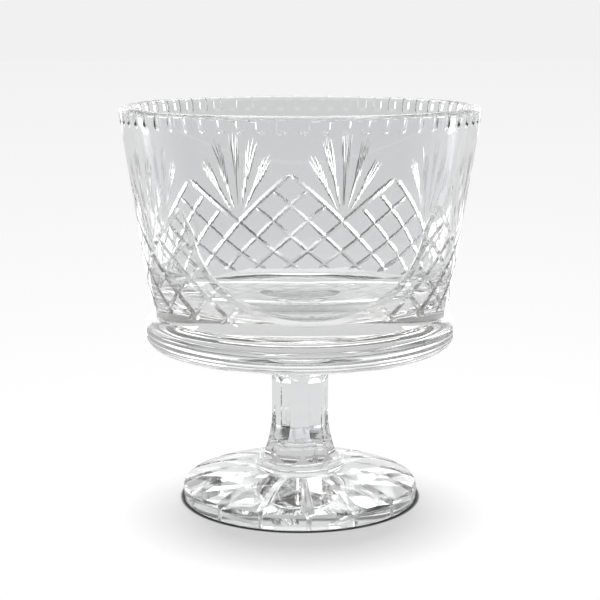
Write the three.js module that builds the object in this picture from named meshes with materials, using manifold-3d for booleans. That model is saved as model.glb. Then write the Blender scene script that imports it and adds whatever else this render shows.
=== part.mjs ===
// Cut-crystal presentation bowl: a tapered cup on a bead-edged plate, a panelled stem and a domed foot.
// Millimetres, +Z up. The origin is the centre of the foot's underside; the plain panel faces -Y.

import * as THREE from 'three';
import { mergeVertices } from 'three/addons/utils/BufferGeometryUtils.js';
import Module from 'manifold-3d';

const wasm = await Module();
wasm.setup();

// Cup
const RIM_DIAMETER = 203;
const CUP_BASE_DIAMETER = 167.6;
const CUP_HEIGHT = 115.8;
const RIM_WALL = 6;
const BASE_WALL = 6.4;
const FLOOR_THICKNESS = 5;
const CAVITY_CORNER_RADIUS = 30;
const CUP_EDGE_CHAMFER = 0.6;

// Rim flutes
const FLUTE_COUNT = 60;
const FLUTE_LENGTH = 8.2;
const FLUTE_DEPTH = 0.5;
const FLUTE_RADIUS = 7.5;

// Lattice of diamonds below a zigzag, with a fan in each valley of the zigzag
const UNIT_COUNT = 8;
const PLAIN_UNITS = 2;
const UNIT_CELLS = 3;
const APEX_HEIGHT = 67.3;
const VALLEY_DROP = 28.8;
const DIAMOND_BOTTOM = 4.3;
const DIAMOND_CUT_DEPTH = 1.3;
const CELL_CUT_DEPTH = 1.1;
const CUT_RUN_OUT = 2.4;

const FAN_BLADES = 5;
const FAN_BLADE_ANGLE = 15.5;
const FAN_BASE_GAP = 7;
const FAN_LENGTH = 58.5;
const FAN_BLADE_DROP = 2.25;
const FAN_DEPTH = 1.7;
const FAN_SWELL = 1.3;

// Plain panel at the front; its border runs this many degrees inside the panel's edge
const PANEL_BOTTOM = 8.8;
const PANEL_ROUND_HEIGHT = 45;
const PANEL_INSET_ANGLE = 3;
const PANEL_BORDER_DEPTH = 1.4;

// Mitre wheel: half-width of a cut over its depth, how far the wheel stands out of the glass
// above a cut, and how far it has lifted off the glass where a cut ends
const CUT_FLARE = 1.3;
const BORDER_FLARE = 1.9;
const WHEEL_ABOVE = 0.8;
const WHEEL_LIFT = 0.3;

// Bead-edged plate that stands out round the cup's base
const PLATE_OVERHANG = 4.9;
const PLATE_DIAMETER = CUP_BASE_DIAMETER + PLATE_OVERHANG * 2;
const PLATE_THICKNESS = 20;

// Stem and its two collars
const STEM_LENGTH = 49.8;
const STEM_TOP_DIAMETER = 32.6;
const STEM_FOOT_DIAMETER = 42.8;
const STEM_FLARE_LENGTH = 21.8;
const STEM_FLARE_POWER = 1.4;
const STEM_FLATS = 8;
const STEM_FLAT_DEPTH = 1.1;
const STEM_FLAT_END = 5;

const STEM_COLLAR_HEIGHT = 16.6;
const STEM_COLLAR_HEAD_DIAMETER = 48;
const STEM_COLLAR_LIP = 2;
const STEM_COLLAR_OVERHANG = 0.6;

// The foot collar steps out from the stem: a narrow land, a slope and a ledge
const FOOT_COLLAR_HEIGHT = 5.2;
const FOOT_COLLAR_LAND = 0.4;
const FOOT_COLLAR_SLOPE = 2;
const FOOT_COLLAR_LEDGE = 2.4;
const FOOT_COLLAR_OVERHANG = FOOT_COLLAR_LAND + FOOT_COLLAR_SLOPE + FOOT_COLLAR_LEDGE;
const FOOT_COLLAR_DIAMETER = STEM_FOOT_DIAMETER + FOOT_COLLAR_OVERHANG * 2;
const FOOT_COLLAR_ROUND = 0.9;

// Foot
const FOOT_DIAMETER = 135.4;
const FOOT_HEIGHT = 17.6;
const FOOT_EDGE_HEIGHT = 8.3;
const FOOT_EDGE_ROUND = 1.2;
const FOOT_CROWN = 2;
const FOOT_CUTS = 16;
const FOOT_CUT_DEPTH = 2;
const FOOT_CUT_START = 0.4;
const FOOT_NOTCH_DEPTH = 0.8;

// Cured adhesive films
const BOND_THICKNESS = 0.2;
const BOND_SETBACK = 0.5;

// Facets, and the places along a cut where its section is given, as shares of its length
const CUP_SEGMENTS = FLUTE_COUNT;
const ROUND_SEGMENTS = 48;
const BOND_SEGMENTS = 24;
const ARC_STEPS = 5;
const LIP_STEPS = 4;
const FLUTE_NOSE_STEPS = 2;
const FLUTE_SIDES = 3;
const BORDER_ROUND_STEPS = 8;
const FAN_STATIONS = [0, 0.2, 0.45, 0.7, 0.88, 1];
const FLAT_END_STATIONS = [0, 0.35, 0.7, 1];
const FOOT_CUT_STATIONS = [0, 0.25, 0.5, 0.75, 1];

const CRYSTAL = { color: 0xe9edee, roughness: 0.04, metalness: 0, transparent: true, opacity: 0.35 };
const ADHESIVE = { color: 0xf4f4ee, roughness: 0.1, metalness: 0, transparent: true, opacity: 0.35 };

const rimRadius = RIM_DIAMETER / 2;
const cupBaseRadius = CUP_BASE_DIAMETER / 2;
const cupTaper = (rimRadius - cupBaseRadius) / CUP_HEIGHT;
const cupTilt = Math.atan(cupTaper);
const cupFaceRadius = cupBaseRadius - CUP_EDGE_CHAMFER;
const wallRadius = (height) => cupBaseRadius + cupTaper * height;

// Booleans

function toSolid(geometry) {
  const bare = geometry.clone();
  bare.deleteAttribute('normal');
  bare.deleteAttribute('uv');
  const merged = mergeVertices(bare, 1e-4);
  const corners = merged.index.array;
  const triVerts = [];
  for (let i = 0; i < corners.length; i += 3) {
    const [a, b, c] = [corners[i], corners[i + 1], corners[i + 2]];
    if (a !== b && b !== c && c !== a) triVerts.push(a, b, c);
  }
  const vertProperties = new Float32Array(merged.attributes.position.array);
  return new wasm.Manifold(new wasm.Mesh({
    numProp: 3,
    vertProperties,
    triVerts: new Uint32Array(triVerts),
  }));
}

function toGeometry(solid) {
  const { vertProperties, triVerts } = solid.getMesh();
  const geometry = new THREE.BufferGeometry();
  geometry.setAttribute('position', new THREE.BufferAttribute(vertProperties, 3));
  geometry.setIndex(new THREE.BufferAttribute(triVerts, 1));
  geometry.computeVertexNormals();
  return geometry;
}

const carve = (geometry, cutters) => toGeometry(
  cutters.reduce((solid, cutter) => solid.subtract(toSolid(cutter)), toSolid(geometry)),
);

// Shapes

// Turned solid from a profile of [radius, height] points that starts and ends on the axis.
function turn(profile, segments = ROUND_SEGMENTS) {
  const points = profile.map(([radius, height]) => new THREE.Vector2(radius, height));
  return new THREE.LatheGeometry(points, segments).rotateX(Math.PI / 2);
}

// Points of an arc about a centre, from one angle to another in degrees.
function arc(centreRadius, centreHeight, radius, fromDeg, toDeg, steps = ARC_STEPS) {
  return Array.from({ length: steps + 1 }, (_, i) => {
    const angle = THREE.MathUtils.degToRad(fromDeg + (toDeg - fromDeg) * i / steps);
    return [centreRadius + radius * Math.cos(angle), centreHeight + radius * Math.sin(angle)];
  });
}

// Closed solid through rings of points that all have the same count.
function loft(rings) {
  const sides = rings[0].length;
  const index = [];
  for (let ring = 0; ring + 1 < rings.length; ring += 1) {
    for (let side = 0; side < sides; side += 1) {
      const a = ring * sides + side;
      const b = ring * sides + (side + 1) % sides;
      index.push(a, b, b + sides, a, b + sides, a + sides);
    }
  }
  const last = (rings.length - 1) * sides;
  for (let side = 1; side + 1 < sides; side += 1) {
    index.push(0, side + 1, side);
    index.push(last, last + side, last + side + 1);
  }
  const geometry = new THREE.BufferGeometry().setFromPoints(rings.flat());
  geometry.setIndex(index);
  return geometry;
}

// Mitre-wheel cut through stations on a surface: {at, out, along, depth}. Where depth falls below
// zero the wheel has left the glass, so the cut ends in a point.
function mitreCut(stations, flare = CUT_FLARE) {
  return loft(stations.map(({ at, out, along, depth }) => {
    const across = new THREE.Vector3().crossVectors(along, out).normalize();
    const halfWidth = (depth + WHEEL_ABOVE) * flare;
    const top = at.clone().addScaledVector(out, WHEEL_ABOVE);
    return [
      at.clone().addScaledVector(out, -depth),
      top.clone().addScaledVector(across, -halfWidth),
      top.clone().addScaledVector(across, halfWidth),
    ];
  }));
}

// Cup

// Frame on the cup's outside at an angle from the front, in degrees, and a height above the cup's base.
function wallFrame(angleDeg, height) {
  const angle = THREE.MathUtils.degToRad(angleDeg);
  const radial = new THREE.Vector3(Math.sin(angle), -Math.cos(angle), 0);
  const at = radial.clone().multiplyScalar(wallRadius(height)).setZ(height);
  const out = radial.clone().multiplyScalar(Math.cos(cupTilt)).setZ(-Math.sin(cupTilt));
  return { at, out };
}

// Stations along a path of {angle, height, depth} on the cup's outside.
function wallStations(path) {
  const frames = path.map(({ angle, height }) => wallFrame(angle, height));
  return path.map(({ depth }, i) => {
    const before = frames[Math.max(i - 1, 0)].at;
    const after = frames[Math.min(i + 1, frames.length - 1)].at;
    return { ...frames[i], along: after.clone().sub(before).normalize(), depth };
  });
}

// Depth of a cut where it is full (1), where it ends (0), or between.
const wheelDepth = (depth, fullness) => -WHEEL_LIFT + (depth + WHEEL_LIFT) * fullness;

function cupProfile() {
  const innerTaper = (rimRadius - RIM_WALL - (cupBaseRadius - BASE_WALL)) / CUP_HEIGHT;
  const innerTilt = THREE.MathUtils.radToDeg(Math.atan(innerTaper));
  const cornerHeight = FLOOR_THICKNESS + CAVITY_CORNER_RADIUS;
  const wallAtCorner = cupBaseRadius - BASE_WALL + innerTaper * cornerHeight;
  const cornerCentre = wallAtCorner - CAVITY_CORNER_RADIUS / Math.cos(Math.atan(innerTaper));
  const lipRadius = RIM_WALL / 2;
  const lipHeight = CUP_HEIGHT - lipRadius;
  return [
    [0, 0],
    [cupFaceRadius, 0],
    [wallRadius(CUP_EDGE_CHAMFER), CUP_EDGE_CHAMFER],
    ...arc(wallRadius(lipHeight) - lipRadius, lipHeight, lipRadius, 0, 180, LIP_STEPS),
    ...arc(cornerCentre, cornerHeight, CAVITY_CORNER_RADIUS, -innerTilt, -90),
    [0, FLOOR_THICKNESS],
  ];
}

const unitAngle = 360 / UNIT_COUNT;
const panelEdge = PLAIN_UNITS * unitAngle / 2;
const borderAngle = panelEdge - PANEL_INSET_ANGLE;

// Half the plain panel's width, as an angle, at a height above the cup's base.
function panelHalfAngle(height) {
  const rise = THREE.MathUtils.clamp((height - PANEL_BOTTOM) / PANEL_ROUND_HEIGHT, 0, 1);
  return borderAngle * Math.sqrt(1 - (1 - rise) ** 2);
}

// How far below its apexes the zigzag lies, at an angle from the front.
function zigzagDrop(angle) {
  const fromApex = THREE.MathUtils.euclideanModulo(angle - panelEdge, unitAngle);
  return VALLEY_DROP * (1 - Math.abs(1 - 2 * fromApex / unitAngle));
}

// Whether the lattice holds a spot: below the zigzag, or beside the plain panel's border.
function inLattice({ angle, height }) {
  const fromFront = Math.abs(THREE.MathUtils.euclideanModulo(angle + 180, 360) - 180);
  if (fromFront < panelEdge) return fromFront > panelHalfAngle(height);
  return APEX_HEIGHT - height > zigzagDrop(angle) - WHEEL_LIFT;
}

// Stretches of one lattice line, each as its first and last drop below the apexes, that the lattice holds.
function heldStretches(spot) {
  const fall = APEX_HEIGHT - DIAMOND_BOTTOM;
  const fineStep = CUT_RUN_OUT / 4;
  const stretches = [];
  let first = null;
  for (let drop = 0; drop < fall + fineStep; drop += fineStep) {
    const held = drop <= fall && inLattice(spot(drop));
    if (held && first === null) first = drop;
    if (!held && first !== null) {
      stretches.push([first, drop - fineStep]);
      first = null;
    }
  }
  return stretches;
}

// Cuts along one lattice line, which leans to one side as it comes down from the apexes' height.
function lineCuts(startAngle, lean, depth) {
  const rowDrop = VALLEY_DROP / UNIT_CELLS;
  const spot = (drop) => (
    { angle: startAngle + lean * drop / VALLEY_DROP * unitAngle / 2, height: APEX_HEIGHT - drop }
  );
  return heldStretches(spot).filter(([first, last]) => last - first >= rowDrop).map(([first, last]) => {
    const fullFirst = first + CUT_RUN_OUT;
    const fullLast = last - CUT_RUN_OUT;
    const steps = Math.ceil((fullLast - fullFirst) / rowDrop);
    const full = Array.from({ length: steps + 1 }, (_, i) => (
      { ...spot(fullFirst + (fullLast - fullFirst) * i / steps), depth }
    ));
    const lifted = (drop) => ({ ...spot(drop), depth: -WHEEL_LIFT });
    return mitreCut(wallStations([lifted(first), ...full, lifted(last)]));
  });
}

// Lines that start at an apex make the zigzag and are deeper than the lines between them.
function latticeCuts() {
  const cuts = [];
  for (let line = 0; line < UNIT_COUNT * UNIT_CELLS; line += 1) {
    const startAngle = panelEdge + unitAngle * line / UNIT_CELLS;
    const depth = line % UNIT_CELLS === 0 ? DIAMOND_CUT_DEPTH : CELL_CUT_DEPTH;
    for (const lean of [1, -1]) cuts.push(...lineCuts(startAngle, lean, depth));
  }
  return cuts;
}

// Fans stand in the zigzag's valleys, except in front of the plain panel.
function fanCuts() {
  const valleyHeight = APEX_HEIGHT - VALLEY_DROP;
  const cuts = [];
  for (let unit = 0; unit < UNIT_COUNT - PLAIN_UNITS; unit += 1) {
    const centre = panelEdge + unitAngle * (unit + 0.5);
    for (let blade = 0; blade < FAN_BLADES; blade += 1) {
      const fromMiddle = blade - (FAN_BLADES - 1) / 2;
      const lean = THREE.MathUtils.degToRad(FAN_BLADE_ANGLE * fromMiddle);
      const length = FAN_LENGTH - FAN_BLADE_DROP * fromMiddle ** 2;
      const path = FAN_STATIONS.map((t) => {
        const reach = FAN_BASE_GAP + (length - FAN_BASE_GAP) * t;
        const height = valleyHeight + reach * Math.cos(lean);
        const turned = THREE.MathUtils.radToDeg(reach * Math.sin(lean) / wallRadius(height));
        const swell = Math.sin(Math.PI * t ** FAN_SWELL);
        return { angle: centre + turned, height, depth: wheelDepth(FAN_DEPTH, swell) };
      });
      cuts.push(mitreCut(wallStations(path)));
    }
  }
  return cuts;
}

// Border of the plain panel: down from one apex, round the panel's lower edge and up to the other.
function borderCut() {
  const round = Array.from({ length: BORDER_ROUND_STEPS * 2 + 1 }, (_, i) => {
    const swing = (i / BORDER_ROUND_STEPS - 1) * Math.PI / 2;
    const height = PANEL_BOTTOM + PANEL_ROUND_HEIGHT * (1 - Math.cos(swing));
    return { angle: borderAngle * Math.sin(swing), height, depth: PANEL_BORDER_DEPTH };
  });
  const end = { height: APEX_HEIGHT, depth: -WHEEL_LIFT };
  const path = [{ ...end, angle: -panelEdge }, ...round, { ...end, angle: panelEdge }];
  return mitreCut(wallStations(path), BORDER_FLARE);
}

// Thumb flutes round the rim: each is the part of a round-nosed wheel, laid along the wall, that dips into it.
function fluteCuts() {
  const sink = FLUTE_RADIUS - FLUTE_DEPTH;
  const nose = Math.sqrt(FLUTE_RADIUS ** 2 - sink ** 2);
  const noseHeight = CUP_HEIGHT - FLUTE_LENGTH + nose;
  const noseRuns = Array.from({ length: FLUTE_NOSE_STEPS + 1 }, (_, i) => (
    -nose * Math.cos(Math.PI / 2 * i / FLUTE_NOSE_STEPS)
  ));
  return Array.from({ length: FLUTE_COUNT }, (_, number) => {
    const angle = 360 * (number + 0.5) / FLUTE_COUNT;
    const turned = THREE.MathUtils.degToRad(angle);
    const across = new THREE.Vector3(Math.cos(turned), Math.sin(turned), 0);
    return loft([...noseRuns, FLUTE_LENGTH].map((run) => {
      const { at, out } = wallFrame(angle, noseHeight + run);
      const radius = Math.sqrt(FLUTE_RADIUS ** 2 - Math.min(run, 0) ** 2);
      const opening = Math.acos((sink - WHEEL_LIFT) / radius);
      return Array.from({ length: FLUTE_SIDES + 1 }, (_, side) => {
        const swing = opening * (1 - 2 * side / FLUTE_SIDES);
        return at.clone()
          .addScaledVector(out, sink - radius * Math.cos(swing))
          .addScaledVector(across, radius * Math.sin(swing));
      });
    }));
  });
}

function bowlGeometry() {
  const blank = turn(cupProfile(), CUP_SEGMENTS);
  return carve(blank, [...fluteCuts(), ...latticeCuts(), ...fanCuts(), borderCut()]);
}

// Plate, collars, stem and films

const beadRadius = PLATE_THICKNESS / 2;
const plateFaceRadius = PLATE_DIAMETER / 2 - beadRadius;

function basePlateGeometry() {
  const bead = arc(plateFaceRadius, beadRadius, beadRadius, -90, 90, ARC_STEPS * 2);
  return turn([[0, 0], ...bead, [0, PLATE_THICKNESS]]);
}

const stemTopRadius = STEM_TOP_DIAMETER / 2;
const stemFootRadius = STEM_FOOT_DIAMETER / 2;

// Stem radius at a height above its lower end: straight above, flared below.
function stemRadius(height) {
  const flare = Math.max(1 - height / STEM_FLARE_LENGTH, 0);
  return stemTopRadius + (stemFootRadius - stemTopRadius) * flare ** STEM_FLARE_POWER;
}

// Heights where the stem's outline is given, from its lower end up to the end of its flare.
const flareHeights = Array.from({ length: ARC_STEPS + 2 }, (_, i) => STEM_FLARE_LENGTH * i / (ARC_STEPS + 1));

// Flat panels are ground along the stem and run out in an arch at both ends.
function stemFlat(index) {
  const angle = 2 * Math.PI * (index + 0.5) / STEM_FLATS;
  const outer = Math.max(stemFootRadius, stemTopRadius) + WHEEL_ABOVE;
  const halfWidth = outer * Math.tan(Math.PI / STEM_FLATS);
  const lower = FLAT_END_STATIONS.map((share) => share * STEM_FLAT_END);
  const upper = lower.map((height) => STEM_LENGTH - height).reverse();
  const middle = flareHeights.filter((height) => height > STEM_FLAT_END && height < upper[0]);
  return loft([...lower, ...middle, ...upper].map((height) => {
    const nearEnd = Math.min(height, STEM_LENGTH - height) / STEM_FLAT_END;
    const arch = 1 - Math.max(1 - nearEnd, 0) ** 2;
    const face = stemRadius(height) - wheelDepth(STEM_FLAT_DEPTH, arch);
    const corner = (radius, side) => new THREE.Vector3(radius, side * halfWidth, height)
      .applyAxisAngle(new THREE.Vector3(0, 0, 1), angle);
    return [corner(face, 1), corner(face, -1), corner(outer, -1), corner(outer, 1)];
  }));
}

function stemGeometry() {
  const flared = flareHeights.map((height) => [stemRadius(height), height]);
  const blank = turn([[0, 0], ...flared, [stemTopRadius, STEM_LENGTH], [0, STEM_LENGTH]]);
  return carve(blank, Array.from({ length: STEM_FLATS }, (_, i) => stemFlat(i)));
}

const collarHeadRadius = STEM_COLLAR_HEAD_DIAMETER / 2;

function stemCollarGeometry() {
  const lipRadius = stemTopRadius + STEM_COLLAR_OVERHANG;
  const flare = Array.from({ length: ARC_STEPS + 1 }, (_, i) => {
    const t = i / ARC_STEPS;
    const height = STEM_COLLAR_LIP + (STEM_COLLAR_HEIGHT - STEM_COLLAR_LIP) * t;
    return [lipRadius + (collarHeadRadius - lipRadius) * t * t, height];
  });
  return turn([
    [0, 0],
    [stemTopRadius, 0],
    [lipRadius, STEM_COLLAR_OVERHANG],
    ...flare,
    [0, STEM_COLLAR_HEIGHT],
  ]);
}

const footCollarRadius = FOOT_COLLAR_DIAMETER / 2;

function footCollarGeometry() {
  const topRadius = stemFootRadius + FOOT_COLLAR_LAND;
  const stepRadius = topRadius + FOOT_COLLAR_SLOPE;
  const stepHeight = FOOT_COLLAR_HEIGHT / 2;
  return turn([
    [0, 0],
    [footCollarRadius, 0],
    [footCollarRadius, stepHeight - FOOT_COLLAR_ROUND],
    [footCollarRadius - FOOT_COLLAR_ROUND, stepHeight],
    [stepRadius, stepHeight],
    [stepRadius, FOOT_COLLAR_HEIGHT - FOOT_COLLAR_ROUND],
    [topRadius, FOOT_COLLAR_HEIGHT],
    [0, FOOT_COLLAR_HEIGHT],
  ]);
}

// Film between two faces, set back from the edge of the smaller one.
function bondGeometry(lowerRadius, upperRadius) {
  const radius = Math.min(lowerRadius, upperRadius) - BOND_SETBACK;
  return turn([[0, 0], [radius, 0], [radius, BOND_THICKNESS], [0, BOND_THICKNESS]], BOND_SEGMENTS);
}

// Foot

const footRadius = FOOT_DIAMETER / 2;

const domeWidth = footRadius - footCollarRadius;

// The foot's domed top, from the collar (0) to the edge (1): a straight fall with a crown on it.
const domeRadius = (t) => footCollarRadius + domeWidth * t;
const domeHeight = (t) => FOOT_HEIGHT + (FOOT_EDGE_HEIGHT - FOOT_HEIGHT) * t + FOOT_CROWN * 4 * t * (1 - t);
const domeSlope = (t) => (FOOT_EDGE_HEIGHT - FOOT_HEIGHT + FOOT_CROWN * 4 * (1 - 2 * t)) / domeWidth;

// Radial cut that starts at a point beside the collar and runs out, deeper and deeper, past the edge.
function footCut(index) {
  const angle = 2 * Math.PI * index / FOOT_CUTS;
  const radial = new THREE.Vector3(Math.sin(angle), -Math.cos(angle), 0);
  const start = FOOT_EDGE_ROUND / domeWidth;
  const end = 1 + FOOT_CUT_DEPTH / domeWidth;
  const stations = FOOT_CUT_STATIONS.map((share) => {
    const t = start + (end - start) * share;
    const at = radial.clone().multiplyScalar(domeRadius(t)).setZ(domeHeight(t));
    const along = radial.clone().setZ(domeSlope(t)).normalize();
    const out = radial.clone().multiplyScalar(-domeSlope(t)).setZ(1).normalize();
    const full = FOOT_CUT_START + (FOOT_CUT_DEPTH - FOOT_CUT_START) * share;
    return { at, out, along, depth: wheelDepth(full, share > 0 ? 1 : 0) };
  });
  return mitreCut(stations);
}

// Shallow upright notch in the foot's edge at the end of a radial cut.
function footNotch(index) {
  const angle = 2 * Math.PI * index / FOOT_CUTS;
  const out = new THREE.Vector3(Math.sin(angle), -Math.cos(angle), 0);
  const along = new THREE.Vector3(0, 0, 1);
  const stations = [-WHEEL_ABOVE, FOOT_EDGE_HEIGHT + WHEEL_ABOVE].map((height) => (
    { at: out.clone().multiplyScalar(footRadius).setZ(height), out, along, depth: FOOT_NOTCH_DEPTH }
  ));
  return mitreCut(stations, BORDER_FLARE);
}

function footGeometry() {
  const dome = Array.from({ length: ARC_STEPS + 1 }, (_, i) => {
    const t = (1 - FOOT_EDGE_ROUND / domeWidth) * (1 - i / ARC_STEPS);
    return [domeRadius(t), domeHeight(t)];
  });
  const blank = turn([
    [0, 0],
    [footRadius - FOOT_EDGE_ROUND / 2, 0],
    [footRadius, FOOT_EDGE_ROUND / 2],
    [footRadius, FOOT_EDGE_HEIGHT - FOOT_EDGE_ROUND / 2],
    ...dome,
    [0, FOOT_HEIGHT],
  ]);
  const numbers = Array.from({ length: FOOT_CUTS }, (_, i) => i);
  return carve(blank, [...numbers.map(footCut), ...numbers.map(footNotch)]);
}

// Assembly, stacked from the foot up

const bowl = new THREE.Group();
let level = 0;

function stack(name, geometry, height, look) {
  const mesh = new THREE.Mesh(geometry, new THREE.MeshStandardMaterial(look));
  mesh.name = name;
  mesh.position.z = level;
  bowl.add(mesh);
  level += height;
}

stack('foot', footGeometry(), FOOT_HEIGHT, CRYSTAL);
stack('foot_bond', bondGeometry(footCollarRadius, footCollarRadius), BOND_THICKNESS, ADHESIVE);
stack('foot_collar', footCollarGeometry(), FOOT_COLLAR_HEIGHT, CRYSTAL);
stack('stem_foot_bond', bondGeometry(stemFootRadius, stemFootRadius), BOND_THICKNESS, ADHESIVE);
stack('stem', stemGeometry(), STEM_LENGTH, CRYSTAL);
stack('stem_top_bond', bondGeometry(stemTopRadius, stemTopRadius), BOND_THICKNESS, ADHESIVE);
stack('stem_collar', stemCollarGeometry(), STEM_COLLAR_HEIGHT, CRYSTAL);
stack('plate_bond', bondGeometry(collarHeadRadius, plateFaceRadius), BOND_THICKNESS, ADHESIVE);
stack('base_plate', basePlateGeometry(), PLATE_THICKNESS, CRYSTAL);
stack('bowl_bond', bondGeometry(plateFaceRadius, cupFaceRadius), BOND_THICKNESS, ADHESIVE);
stack('bowl', bowlGeometry(), CUP_HEIGHT, CRYSTAL);

export default bowl;
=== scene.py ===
"""Cut-crystal presentation bowl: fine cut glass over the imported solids, its finishes, and a pale studio."""

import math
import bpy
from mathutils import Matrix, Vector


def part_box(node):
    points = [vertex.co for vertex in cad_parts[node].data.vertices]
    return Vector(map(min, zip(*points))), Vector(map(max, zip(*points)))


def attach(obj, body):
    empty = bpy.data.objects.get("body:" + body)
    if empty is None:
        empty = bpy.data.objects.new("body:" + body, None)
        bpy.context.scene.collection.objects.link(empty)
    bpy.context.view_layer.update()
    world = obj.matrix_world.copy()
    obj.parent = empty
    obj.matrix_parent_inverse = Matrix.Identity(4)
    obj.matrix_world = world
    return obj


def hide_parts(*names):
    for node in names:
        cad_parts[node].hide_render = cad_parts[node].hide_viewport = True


bl_info = {
    "name": "Cut-crystal presentation bowl",
    "version": (1, 0, 0),
    "blender": (4, 5, 0),
    "location": "3D View > Sidebar > Crystal",
    "description": "Cut cup, bead-edged plate, panelled stem and domed foot, with finishes and a studio",
    "category": "Object",
}

import bmesh
import bpy
from bpy.props import FloatProperty, FloatVectorProperty, IntProperty, PointerProperty
from bpy.types import Operator, Panel, PropertyGroup
from mathutils import Matrix, Vector

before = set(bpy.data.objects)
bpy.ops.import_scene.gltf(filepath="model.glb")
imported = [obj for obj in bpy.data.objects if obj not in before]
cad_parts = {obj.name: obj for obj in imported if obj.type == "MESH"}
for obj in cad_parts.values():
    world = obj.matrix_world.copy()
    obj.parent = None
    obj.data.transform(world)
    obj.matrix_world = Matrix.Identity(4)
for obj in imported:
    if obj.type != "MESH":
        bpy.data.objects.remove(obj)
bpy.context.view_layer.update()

MM = 0.001
AXIS = Vector((0, 0, 1))
WHITE = (1.0, 1.0, 1.0)

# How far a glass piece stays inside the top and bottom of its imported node
HAIR = 0.01 * MM

BODY = "root"

# Places of the finishes on a glass piece
POLISHED = 0
CUT = 1
BONDED = 2


def levels(node):
    """Lowest and highest height of a glass piece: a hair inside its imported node, so that it shares
    no face with a film."""
    low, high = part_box(node)
    return low.z + HAIR, high.z - HAIR


def reach(node):
    """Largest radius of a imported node."""
    low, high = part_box(node)
    return (high.x - low.x) / 2


# Sizes and looks that a user would change


def length(name, description, millimetres):
    return FloatProperty(
        name=name, description=description, default=millimetres * MM, min=0, unit="LENGTH", precision=5
    )


def angle(name, description, degrees):
    return FloatProperty(name=name, description=description, default=math.radians(degrees), subtype="ANGLE")


def share(name, description, value):
    return FloatProperty(name=name, description=description, default=value, min=0, max=1, subtype="FACTOR")


def count(name, description, value):
    return IntProperty(name=name, description=description, default=value, min=1)


def level(name, description, value):
    return FloatProperty(name=name, description=description, default=value, min=0)


def tint(name, description, value):
    return FloatVectorProperty(
        name=name, description=description, default=value, min=0, max=1, size=3, subtype="COLOR"
    )


class CupSizes(PropertyGroup):
    """The turned cup and the flutes round its rim"""

    rim_radius: length("Rim radius", "Outside of the cup at its rim", 101.5)
    base_radius: length("Base radius", "Outside of the cup at its base", 83.8)
    rim_wall: length("Rim wall", "Thickness of the wall at the rim", 6)
    base_wall: length("Base wall", "Thickness of the wall at the base", 6.4)
    floor: length("Floor", "Thickness of the cup's floor", 5)
    corner: length("Cavity corner", "Radius between the cavity's wall and floor", 30)
    chamfer: length("Base chamfer", "Bevel round the cup's base", 0.6)
    flute_count: count("Flutes", "Flutes round the rim", 60)
    flute_length: length("Flute length", "How far a flute runs down from the rim", 9.8)
    flute_depth: length("Flute depth", "Depth of a flute", 0.7)
    flute_radius: length("Flute wheel", "Radius of the wheel that cuts a flute", 6.5)


class PatternSizes(PropertyGroup):
    """The cut pattern on the outside of the cup"""

    units: count("Units", "Zigzag units round the whole cup", 8)
    plain_units: count("Plain units", "Units left plain at the front", 2)
    cells: count("Cells", "Lattice cells across one unit", 3)
    apex_height: length("Apex height", "Height of a zigzag apex above the cup's base", 67.3)
    valley_drop: length("Valley drop", "How far a zigzag valley lies below its apexes", 28.8)
    lattice_foot: length("Lattice foot", "Height of the lattice's lower end above the cup's base", 4.3)
    main_depth: length("Zigzag depth", "Depth of the cuts that start at an apex", 1.3)
    lattice_depth: length("Lattice depth", "Depth of the other lattice cuts", 1.1)
    fan_blades: count("Fan blades", "Blades in one fan", 5)
    fan_angle: angle("Blade angle", "Angle between neighbouring blades of a fan", 15.5)
    fan_gap: length("Fan gap", "Gap between the zigzag's valley and a fan", 7)
    fan_length: length("Fan length", "Length of a fan from the valley to its tip", 58.5)
    fan_drop: length("Fan drop", "How much shorter the blades get towards the fan's sides", 2.25)
    fan_depth: length("Fan depth", "Depth of a blade's cuts", 0.85)
    fan_split: angle("Blade split", "Angle between the three cuts of one blade", 3.6)
    panel_foot: length("Panel foot", "Lowest point of the plain panel above the cup's base", 8.8)
    panel_round: length("Panel rounding", "Height of the plain panel's rounded lower end", 45)
    panel_inset: angle("Panel inset", "How far the panel's border lies inside the plain units", 3)
    border_depth: length("Border depth", "Depth of the cut round the plain panel", 1.4)
    cut_flare: level("Cut flare", "Half-width of a cut over its depth", 1.3)
    border_flare: level("Border flare", "Half-width of the border cut over its depth", 1.9)


class StandSizes(PropertyGroup):
    """The plate, stem and collars under the cup"""

    collar_head: length("Collar head", "Radius of the stem collar where it meets the plate", 24)
    collar_lip: length("Collar lip", "Height of the stem collar's lower lip", 2)
    collar_overhang: length("Collar overhang", "How far the lip stands out from the stem", 0.6)
    stem_top: length("Stem top", "Radius of the stem's straight upper part", 16.3)
    stem_foot: length("Stem foot", "Radius of the stem at its lower end", 21.4)
    stem_flare: length("Stem flare", "Height of the stem's flared lower part", 21.8)
    stem_flats: count("Stem flats", "Flat panels round the stem", 8)
    flat_depth: length("Flat depth", "How far a flat is ground into the stem", 1.1)
    flat_end: length("Flat end", "Height of the arch at each end of a flat", 5)
    ring_land: length("Ring land", "Narrow land between the stem and the foot ring's slope", 0.4)
    ring_slope: length("Ring slope", "Width of the foot ring's upper slope", 2)
    ring_round: length("Ring rounding", "Rounding of the foot ring's edges", 0.9)


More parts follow.
